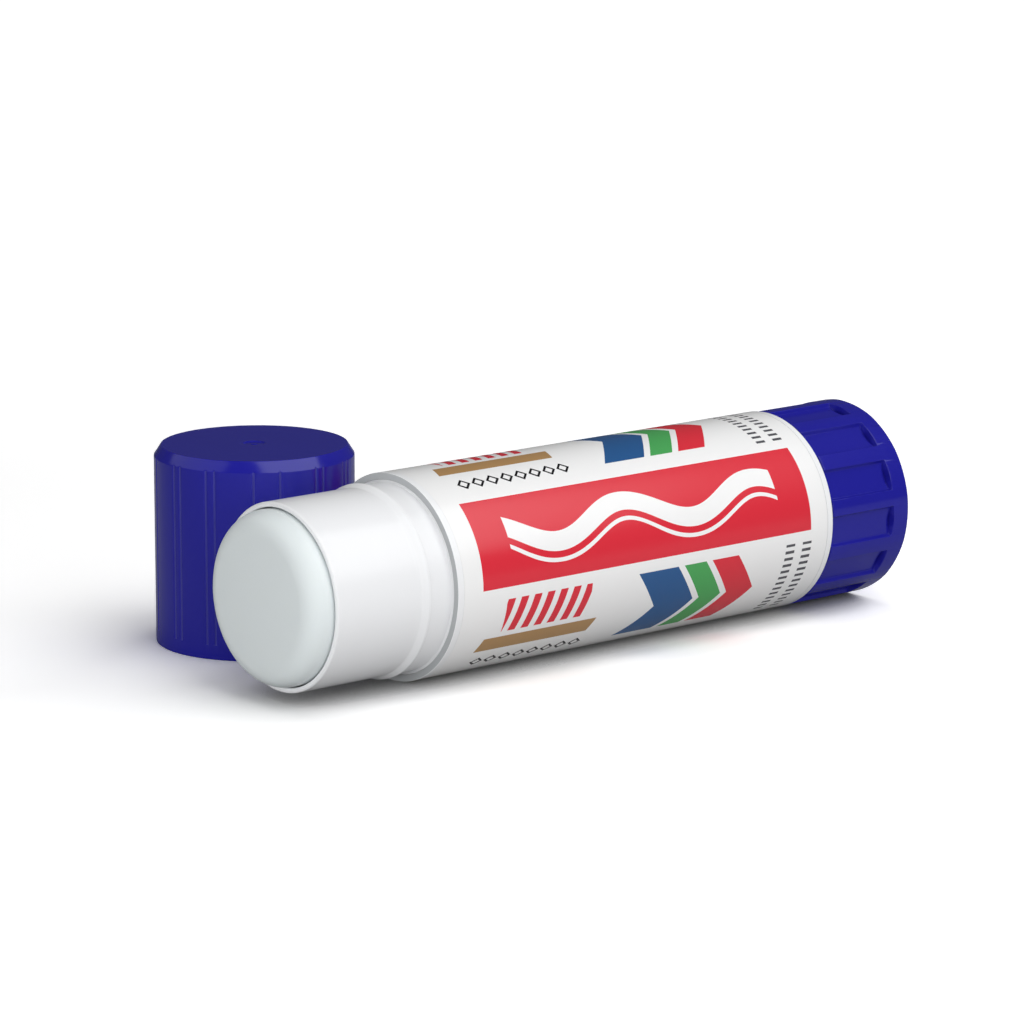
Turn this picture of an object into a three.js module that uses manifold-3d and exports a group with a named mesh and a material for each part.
// Glue stick with a twist-up mechanism, lying on its side beside its cap.
// Millimetres, +Z up. The stick's own axis runs from the knob's end face at 0 to the mouth of the neck.
import * as THREE from "three";
import { mergeVertices } from "three/addons/utils/BufferGeometryUtils.js";
import { ParametricGeometry } from "three/addons/geometries/ParametricGeometry.js";
import Module from "manifold-3d";

// Barrel, the outer sleeve
const barrelRadius = 12.5;
const barrelLength = 60.7;
const barrelWall = 0.75;
const landLength = 0.9;
const labelThickness = 0.08;
const labelSlack = 0.03;
const edgeBreak = 0.25;

// Inner tube, whose front end is the neck that the cap closes on
const tubeGap = 0.1;
const neckStep = 0.5;
const neckLength = 16.8;
const neckWall = 0.65;
const lipRound = 0.3;
const locatingLength = 6;
const neckRootLength = 3.15;
const neckRootRise = 0.1;
const neckRootFillet = 0.45;
const beadHeight = 0.42;
const beadStep = 0.12;
const beadCrest = 0.35;
const beadRamp = 0.85;

// Guide ribs in the tube's bore, which keep the carriage from turning
const ribCount = 4;
const ribWidth = 1.2;
const ribHeight = 0.45;
const ribHold = 0.7;

// Knob, which turns the spindle
const knobLength = 13.2;
const knobGap = 0.2;
const knobWall = 1.55;
const knobFloor = 1.5;
const knobRound = 0.9;
const knobEndRecess = 0.45;
const knobEndRim = 2.6;
const pocketCount = 13;
const pocketAngle = 18.2;
const pocketDepth = 0.65;
const pocketSetback = 2.7;
const pocketSlope = 0.45;
const pocketDraft = 0.25;
const pocketPhase = -94.7;
const sideBow = 0.16;

// Spigot on the knob, which clips into the tube's rear end
const runningGap = 0.15;
const spigotWall = 1.3;
const spigotReach = 6;
const clipHeight = 0.35;
const clipLength = 1.2;
const clipRamp = 0.4;
const clipSetback = 2.2;

// Spindle and its drive into the knob
const threadPitch = 4;
const threadRoot = 2;
const threadCrest = 3.2;
const crestLength = 0.9;
const flankLength = 0.55;
const threadRunOut = 1.5;
const threadSink = 0.6;
const spindleOverrun = 3.9;
const spindleChamfer = 0.7;
const driveFlats = 4.2;
const driveLength = 6.4;
const driveGap = 0.15;
const hubWall = 1.7;
const collarRadius = 6;
const collarLength = 1.2;
const seatGap = 0.1;

// Carriage, the threaded cup that carries the glue
const slideGap = 0.15;
const cupDepth = 6;
const cupWall = 0.8;
const carriageFloor = 1.2;
const nutLength = 5;
const nutWall = 1.9;
const threadGap = 0.2;
const keyGap = 0.15;

// Travel of the carriage: turns that it can still go in, its stop there, and its stop behind the mouth
const turnsIn = 1;
const parkGap = 0.6;
const mouthStop = 1.5;

// Glue
const glueGap = 0.15;
const glueReach = 3;
const glueDome = 0.25;
const glueRimRadius = 2.75;
const glueRimSweep = 65;
const glueClearance = 0.3;

// Cap, standing on its open end beside the neck
const capHeight = 24.5;
const capWall = 0.83;
const capChamfer = 1.3;
const capChamferRun = 0.85;
const capCeiling = 1.4;
const capGap = 0.2;
const capQuarters = 4;
const widePairAngle = 15.1;
const narrowPairAngle = 5.4;
const narrowPairSpread = 33;
const capGroovePhase = -119.9;
const capGrooveWidth = 0.4;
const capGrooveDepth = 0.1;
const capGrooveSetback = 1.75;
const capLeadIn = 0.4;
const snapGap = 0.12;
const sealHeight = 0.14;
const sealLength = 1.2;
const sealSetback = 2.4;
const gateRadius = 1.4;
const gateDepth = 0.15;
const gateTipRadius = 0.45;
const gateTipFlat = 0.22;
const gateTipHeight = 0.08;
const capAlong = 0.3;
const capRoom = 2.32;

// How deep a moulded foot runs into the wall that it grows from, and how far a cutting tool overshoots
const fuseDepth = 0.4;
const overshoot = 1;

// Facets round a full turn
const roundSteps = 56;
const smallRoundSteps = 24;
const threadSteps = 16;
const rimSteps = 8;
const filletSteps = 4;
const smallFilletSteps = 2;
const mergeTolerance = 1e-4;

// Places along the stick's axis, and the radii that seat in one another
const barrelRear = knobLength + knobGap;
const barrelFront = barrelRear + barrelLength;
const mouth = barrelFront + neckLength;
const barrelBore = barrelRadius - barrelWall;
const locatingRadius = barrelBore - tubeGap;
const neckRadius = barrelBore - neckStep;
const boreRadius = neckRadius - neckWall;
const tubeRear = barrelRear + knobGap;
const spigotRadius = boreRadius - runningGap;
const spigotTop = tubeRear + spigotReach;
const carriageRadius = boreRadius - slideGap;
const ribTip = boreRadius - ribHeight;
const travelIn = turnsIn * threadPitch;
const nutFoot = spigotTop + parkGap + travelIn;
const carriageFoot = nutFoot + nutLength;
const cupFloor = carriageFoot + carriageFloor;
const cupRim = cupFloor + cupDepth;
const travelOut = mouth - mouthStop - cupRim;
const glueFoot = cupFloor + seatGap;
const glueRadius = boreRadius - glueGap;
const glueFace = mouth + glueReach;
const threadFoot = spigotTop - threadPitch;
const spindleTip = carriageFoot + travelOut + spindleOverrun;
const threadTop = spindleTip - spindleChamfer;
const hubTop = knobFloor + driveLength;
const ribRear = spigotTop + parkGap;
const ribFront = carriageFoot + travelOut + ribHold;
const stickLength = glueFace + glueDome;
const capBore = neckRadius + capGap;
const capRadius = capBore + capWall;
const capTopRadius = capRadius - capChamferRun;
const capChamferFoot = capHeight - capChamfer;
const capDistance = barrelRadius + capRoom + capRadius;

const wasm = await Module();
wasm.setup();

// A closed geometry as a solid: its corners are merged and triangles that folded to a line are left out
function solid(geometry) {
  const bare = geometry.clone();
  bare.deleteAttribute("normal");
  bare.deleteAttribute("uv");
  const merged = mergeVertices(bare, mergeTolerance);
  const corners = merged.index.array;
  const triVerts = [];
  for (let i = 0; i < corners.length; i += 3) {
    const [a, b, c] = corners.slice(i, i + 3);
    if (a !== b && b !== c && c !== a) triVerts.push(a, b, c);
  }
  return new wasm.Manifold(new wasm.Mesh({
    numProp: 3,
    vertProperties: new Float32Array(merged.attributes.position.array),
    triVerts: new Uint32Array(triVerts),
  }));
}

// Points of an arc in the plane of radius and height, from one angle to another in degrees
function arc(radius, height, size, from, to, steps = filletSteps) {
  return Array.from({ length: steps + 1 }, (_, i) => {
    const angle = THREE.MathUtils.degToRad(from + (to - from) * i / steps);
    return [radius + size * Math.cos(angle), height + size * Math.sin(angle)];
  });
}

// A profile of [radius, height] points, listed upwards along the outside, turned round the Z axis
function revolve(profile, steps = roundSteps) {
  const points = profile.map(([radius, height]) => new THREE.Vector2(radius, height));
  if (profile[0][0] > 0) points.push(points[0].clone());
  return solid(new THREE.LatheGeometry(points, steps).rotateX(Math.PI / 2));
}

// A plain cylinder or ring between two heights
function disc(radius, bottom, top, bore = 0, steps = roundSteps) {
  return revolve([[bore, bottom], [radius, bottom], [radius, top], [bore, top]], steps);
}

// An outline of [x, y] points raised between two heights
function raise(outline, bottom, top) {
  const shape = new THREE.Shape(outline.map(([x, y]) => new THREE.Vector2(x, y)));
  const geometry = new THREE.ExtrudeGeometry(shape, { depth: top - bottom, bevelEnabled: false });
  return solid(geometry.translate(0, 0, bottom));
}

// A bar of a given width that runs outwards from one radius to another
function radialBar(inner, outer, width, bottom, top) {
  const half = width / 2;
  return raise([[inner, -half], [outer, -half], [outer, half], [inner, half]], bottom, top);
}

// A square bar on the axis
function squareBar(half, bottom, top) {
  return raise([[-half, -half], [half, -half], [half, half], [-half, half]], bottom, top);
}

// A point at a radius and an angle in degrees
function polar(radius, degrees) {
  const angle = THREE.MathUtils.degToRad(degrees);
  return [radius * Math.cos(angle), radius * Math.sin(angle)];
}

// Copies of a solid spread evenly round the Z axis, joined
function ringOf(count, piece, phase = 0) {
  const copies = Array.from({ length: count }, (_, i) => piece.rotate([0, 0, phase + 360 * i / count]));
  return wasm.Manifold.union(copies);
}

// The left-hand screw ridge, a trapezoid swept along its helix, sinking into the core at both ends
function threadRidge(gap) {
  const steps = Math.floor((threadTop - threadFoot) / threadPitch * threadSteps);
  const rise = steps / threadSteps * threadPitch;
  const foot = threadRoot - threadSink;
  const half = crestLength / 2 + gap;
  const wide = half + flankLength * (threadCrest + gap - foot) / (threadCrest - threadRoot);
  const section = [[foot, wide], [threadCrest + gap, half], [threadCrest + gap, -half], [foot, -wide]];
  const runOut = threadRunOut / rise;
  const sweep = (along, round, target) => {
    const corner = section[Math.round(round * section.length) % section.length];
    const fade = Math.min(1, along / runOut, (1 - along) / runOut);
    const radius = foot + (corner[0] - foot) * fade;
    const turn = -2 * Math.PI * along * steps / threadSteps;
    const height = threadFoot + rise * along + corner[1] * fade;
    target.set(radius * Math.cos(turn), radius * Math.sin(turn), height);
  };
  return solid(new ParametricGeometry(sweep, steps, section.length));
}

// Outer sleeve, with a shallow recess for the label between two lands
function makeBarrel() {
  const recess = barrelRadius - labelThickness - labelSlack * 2;
  const rear = barrelRear;
  const front = barrelFront;
  return revolve([
    [barrelBore, rear],
    [barrelRadius - edgeBreak, rear],
    [barrelRadius, rear + edgeBreak],
    [barrelRadius, rear + landLength],
    [recess, rear + landLength],
    [recess, front - landLength],
    [barrelRadius, front - landLength],
    [barrelRadius, front - edgeBreak],
    [barrelRadius - edgeBreak, front],
    [barrelBore, front],
  ]);
}

function makeLabel() {
  const outer = barrelRadius - labelSlack;
  const rear = barrelRear + landLength + labelSlack;
  const front = barrelFront - landLength - labelSlack;
  return disc(outer, rear, front, outer - labelThickness);
}

// Inner tube: two locating bands in the sleeve, the neck with its snap bead, a groove for the knob's clip
function makeTube() {
  const root = neckRadius + neckRootRise;
  const crest = neckRadius + beadHeight;
  const beadFoot = barrelFront + neckRootLength;
  const beadTop = beadFoot + beadCrest;
  const groove = spigotTop - clipSetback;
  const grooveRadius = boreRadius + clipHeight + runningGap;
  const grooveTop = groove + clipLength + runningGap;
  const grooveFoot = groove - runningGap;
  const shell = revolve([
    [boreRadius, tubeRear],
    [locatingRadius, tubeRear],
    [locatingRadius, tubeRear + locatingLength],
    [neckRadius, tubeRear + locatingLength + tubeGap],
    [neckRadius, barrelFront - locatingLength],
    [locatingRadius, barrelFront - locatingLength],
    [locatingRadius, barrelFront],
    ...arc(root + neckRootFillet, barrelFront + neckRootFillet, neckRootFillet, 225, 180, smallFilletSteps),
    [root, beadFoot],
    [crest, beadFoot + beadStep],
    [crest, beadTop],
    [neckRadius, beadTop + beadRamp],
    ...arc(neckRadius - lipRound, mouth - lipRound, lipRound, 0, 90, smallFilletSteps),
    [boreRadius, mouth],
    [boreRadius, grooveTop],
    [grooveRadius, grooveTop],
    [grooveRadius, grooveFoot],
    [boreRadius, grooveFoot],
  ]);
  const rib = radialBar(ribTip, boreRadius + fuseDepth, ribWidth, ribRear, ribFront);
  return shell.add(ringOf(ribCount, rib));
}

// The knob's side is a ring of shallow arcs that meet in a soft crease along the middle of each grip
function knobSide() {
  const outline = [];
  const pitch = 360 / pocketCount;
  for (let side = 0; side < pocketCount; side += 1) {
    for (let step = 0; step < filletSteps; step += 1) {
      const across = step / filletSteps;
      const bow = sideBow * Math.sin(Math.PI * across);
      outline.push(polar(barrelRadius - bow, pocketPhase + pitch * (side - 0.5 + across)));
    }
  }
  return raise(outline, 0, knobLength);
}

// One pocket, open towards the barrel, with a flat floor, drafted sides and a sloping end
function pocketCutter() {
  const reach = barrelRadius + overshoot;
  const deep = barrelRadius - pocketDepth;
  const rise = (reach - deep) / pocketDepth;
  const half = barrelRadius * Math.sin(THREE.MathUtils.degToRad(pocketAngle / 2));
  const flare = half + pocketDraft * rise;
  const floor = half - pocketDraft;
  const trench = raise([[deep, -floor], [reach, -flare], [reach, flare], [deep, floor]],
    pocketSetback, knobLength + overshoot);
  const wedge = raise([
    [deep, pocketSetback + pocketSlope],
    [reach, pocketSetback + pocketSlope - pocketSlope * rise],
    [reach, knobLength + overshoot],
    [deep, knobLength + overshoot],
  ], -reach, reach).rotate([90, 0, 0]);
  return trench.intersect(wedge);
}

// The ring that reaches into the tube, with the bead that clips into the tube's groove
function makeSpigot() {
  const clip = spigotTop - clipSetback;
  const foot = knobFloor - fuseDepth;
  return revolve([
    [spigotRadius - spigotWall, foot],
    [spigotRadius, foot],
    [spigotRadius, clip],
    [spigotRadius + clipHeight, clip + clipRamp],
    [spigotRadius + clipHeight, clip + clipLength - clipRamp],
    [spigotRadius, clip + clipLength],
    [spigotRadius, spigotTop - edgeBreak],
    [spigotRadius - edgeBreak, spigotTop],
    [spigotRadius - spigotWall, spigotTop],
  ]);
}

function makeKnob() {
  const envelope = revolve([
    [0, 0],
    ...arc(barrelRadius - knobRound, knobRound, knobRound, -90, 0),
    [barrelRadius, knobLength],
    [0, knobLength],
  ]);
  const pockets = ringOf(pocketCount, pocketCutter(), pocketPhase);
  const hollow = disc(barrelRadius - knobWall, knobFloor, knobLength + overshoot);
  const recess = revolve([
    [0, -overshoot],
    [barrelRadius - knobEndRim + knobEndRecess, -overshoot],
    [barrelRadius - knobEndRim, knobEndRecess],
    [0, knobEndRecess],
  ]);
  const socketHalf = driveFlats / 2 + driveGap;
  const hubRadius = socketHalf * Math.SQRT2 + hubWall;
  const hub = disc(hubRadius, knobFloor - fuseDepth, hubTop, 0, smallRoundSteps);
  const socket = squareBar(socketHalf, knobFloor, hubTop + overshoot);
  const shell = knobSide().intersect(envelope).subtract(pockets).subtract(hollow).subtract(recess);
  return shell.add(makeSpigot()).add(hub).subtract(socket);
}

// Threaded rod with a square drive in the knob's hub and a collar that rests on the hub
function makeSpindle() {
  const collarFoot = hubTop + seatGap;
  const collarTop = collarFoot + collarLength;
  const drive = squareBar(driveFlats / 2, knobFloor + driveGap, collarFoot + fuseDepth);
  const core = revolve([
    [0, collarFoot],
    [collarRadius, collarFoot],
    [collarRadius, collarTop],
    [threadRoot, collarTop],
    [threadRoot, threadTop],
    [threadRoot - spindleChamfer, spindleTip],
    [0, spindleTip],
  ], threadSteps);
  return core.add(drive).add(threadRidge(0));
}

// Cup with a threaded nut under it, notched round its edge for the tube's guide ribs
function makeCarriage() {
  const nutRadius = threadCrest + threadGap + nutWall;
  const cup = revolve([
    [0, carriageFoot],
    [carriageRadius - edgeBreak, carriageFoot],
    [carriageRadius, carriageFoot + edgeBreak],
    [carriageRadius, cupRim],
    [carriageRadius - cupWall, cupRim],
    [carriageRadius - cupWall, cupFloor],
    [0, cupFloor],
  ]);
  const nut = disc(nutRadius, nutFoot, carriageFoot + fuseDepth, 0, smallRoundSteps);
  const throat = disc(threadRoot + threadGap, nutFoot - overshoot, cupFloor + overshoot, 0, threadSteps);
  const window = disc(carriageRadius, nutFoot - overshoot, cupFloor + overshoot);
  const screw = threadRidge(threadGap).intersect(window);
  const notch = radialBar(ribTip - keyGap, carriageRadius + overshoot, ribWidth + keyGap * 2,
    carriageFoot - overshoot, cupRim + overshoot);
  return cup.add(nut).subtract(throat).subtract(screw).subtract(ringOf(ribCount, notch));
}

// The paste, cast round the spindle's room, keyed on the guide ribs, with a rounded rim and a slight dome
function makeGlue() {
  const shank = carriageRadius - cupWall - glueGap;
  const sweep = THREE.MathUtils.degToRad(glueRimSweep);
  const rimCentre = glueFace - glueRimRadius * Math.sin(sweep);
  const body = revolve([
    [0, glueFoot],
    [shank, glueFoot],
    [shank, cupRim + seatGap],
    [glueRadius, cupRim + seatGap],
    ...arc(glueRadius - glueRimRadius, rimCentre, glueRimRadius, 0, glueRimSweep, rimSteps),
    [0, glueFace + glueDome],
  ]);
  const boreTop = spindleTip + travelIn + glueClearance;
  const bore = disc(threadCrest + threadGap, glueFoot - overshoot, boreTop, 0, smallRoundSteps);
  const groove = radialBar(ribTip - keyGap, glueRadius + overshoot, ribWidth + keyGap * 2,
    glueFoot - overshoot, ribFront + travelIn + glueClearance);
  return body.subtract(bore).subtract(ringOf(ribCount, groove));
}

// One of the cap's fine grooves, V-shaped, from the smooth band at the rim up into the chamfer
function capGroove() {
  const flare = capGrooveWidth / 2 * (capGrooveDepth + overshoot) / capGrooveDepth;
  const outside = capRadius + overshoot;
  const section = [[capRadius - capGrooveDepth, 0], [outside, -flare], [outside, flare]];
  return raise(section, capGrooveSetback, capHeight);
}

// The grooves run in pairs: each quarter has a wide pair between two narrow ones
function capGrooves() {
  const narrow = narrowPairAngle / 2;
  const wide = widePairAngle / 2;
  const middles = [-narrowPairSpread, narrowPairSpread];
  const places = [-wide, wide, ...middles.flatMap((middle) => [middle - narrow, middle + narrow])];
  return wasm.Manifold.union(places.map((place) => ringOf(capQuarters, capGroove(), capGroovePhase + place)));
}

// Cap with a chamfered top, a bead seat and a sealing ring inside, and the gate's dimple on top
function makeCap() {
  const ceiling = capHeight - capCeiling;
  const snapFoot = neckRootLength - snapGap;
  const snapTop = neckRootLength + beadCrest + beadRamp;
  const snapRadius = neckRadius + beadHeight + snapGap;
  const seal = neckLength - sealSetback;
  const shell = revolve([
    [capBore + capLeadIn, 0],
    [capRadius, 0],
    [capRadius, capChamferFoot],
    [capTopRadius, capHeight],
    [0, capHeight],
    [0, ceiling],
    ...arc(capBore - lipRound, ceiling - lipRound, lipRound, 90, 0, smallFilletSteps),
    [capBore, seal + sealLength],
    [capBore - sealHeight, seal + sealLength / 2],
    [capBore, seal],
    [capBore, snapTop],
    [snapRadius, snapTop - beadRamp],
    [snapRadius, snapFoot + beadStep],
    [capBore, snapFoot],
    [capBore, capLeadIn],
    [capBore + capLeadIn, 0],
  ]);
  const dimpleFloor = capHeight - gateDepth;
  const gate = revolve([
    [0, dimpleFloor + gateTipHeight],
    [gateTipFlat, dimpleFloor + gateTipHeight],
    [gateTipRadius, dimpleFloor],
    [gateRadius - gateDepth, dimpleFloor],
    [gateRadius + gateDepth, capHeight + gateDepth],
    [0, capHeight + gateDepth],
  ], smallRoundSteps);
  return shell.subtract(capGrooves()).subtract(gate);
}

// The finish of each material, as it looks in daylight
const finishes = {
  whitePlastic: { color: 0xf1f2f4, roughness: 0.3 },
  whiteFilm: { color: 0xf4f3f0, roughness: 0.45 },
  bluePlastic: { color: 0x25238c, roughness: 0.4 },
  naturalPlastic: { color: 0xe9eaea, roughness: 0.45 },
  glue: { color: 0xd3dcdd, roughness: 0.5 },
};

// A named mesh made from a solid
function piece(name, body, finish) {
  const shape = body.getMesh();
  const geometry = new THREE.BufferGeometry();
  geometry.setAttribute("position", new THREE.BufferAttribute(new Float32Array(shape.vertProperties), 3));
  geometry.setIndex(new THREE.BufferAttribute(new Uint32Array(shape.triVerts), 1));
  geometry.computeVertexNormals();
  const mesh = new THREE.Mesh(geometry, new THREE.MeshStandardMaterial({ metalness: 0, ...finish }));
  mesh.name = name;
  return mesh;
}

// The stick lies along X with its neck towards -X
const width = barrelRadius + capDistance + capRadius;
const stick = new THREE.Group();
stick.rotation.y = -Math.PI / 2;
stick.position.set(stickLength / 2, barrelRadius - width / 2, barrelRadius);
stick.add(
  piece("outer_barrel", makeBarrel(), finishes.whitePlastic),
  piece("label_wrap", makeLabel(), finishes.whiteFilm),
  piece("inner_tube", makeTube(), finishes.whitePlastic),
  piece("dial_knob", makeKnob(), finishes.bluePlastic),
  piece("spindle", makeSpindle(), finishes.naturalPlastic),
  piece("carriage", makeCarriage(), finishes.naturalPlastic),
  piece("glue", makeGlue(), finishes.glue),
);

// The cap stands upright behind the neck
const cap = piece("cap", makeCap(), finishes.bluePlastic);
cap.position.set(stick.position.x - barrelFront + capAlong, stick.position.y + capDistance, 0);

const glueStick = new THREE.Group();
glueStick.add(stick, cap);

export default glueStick;
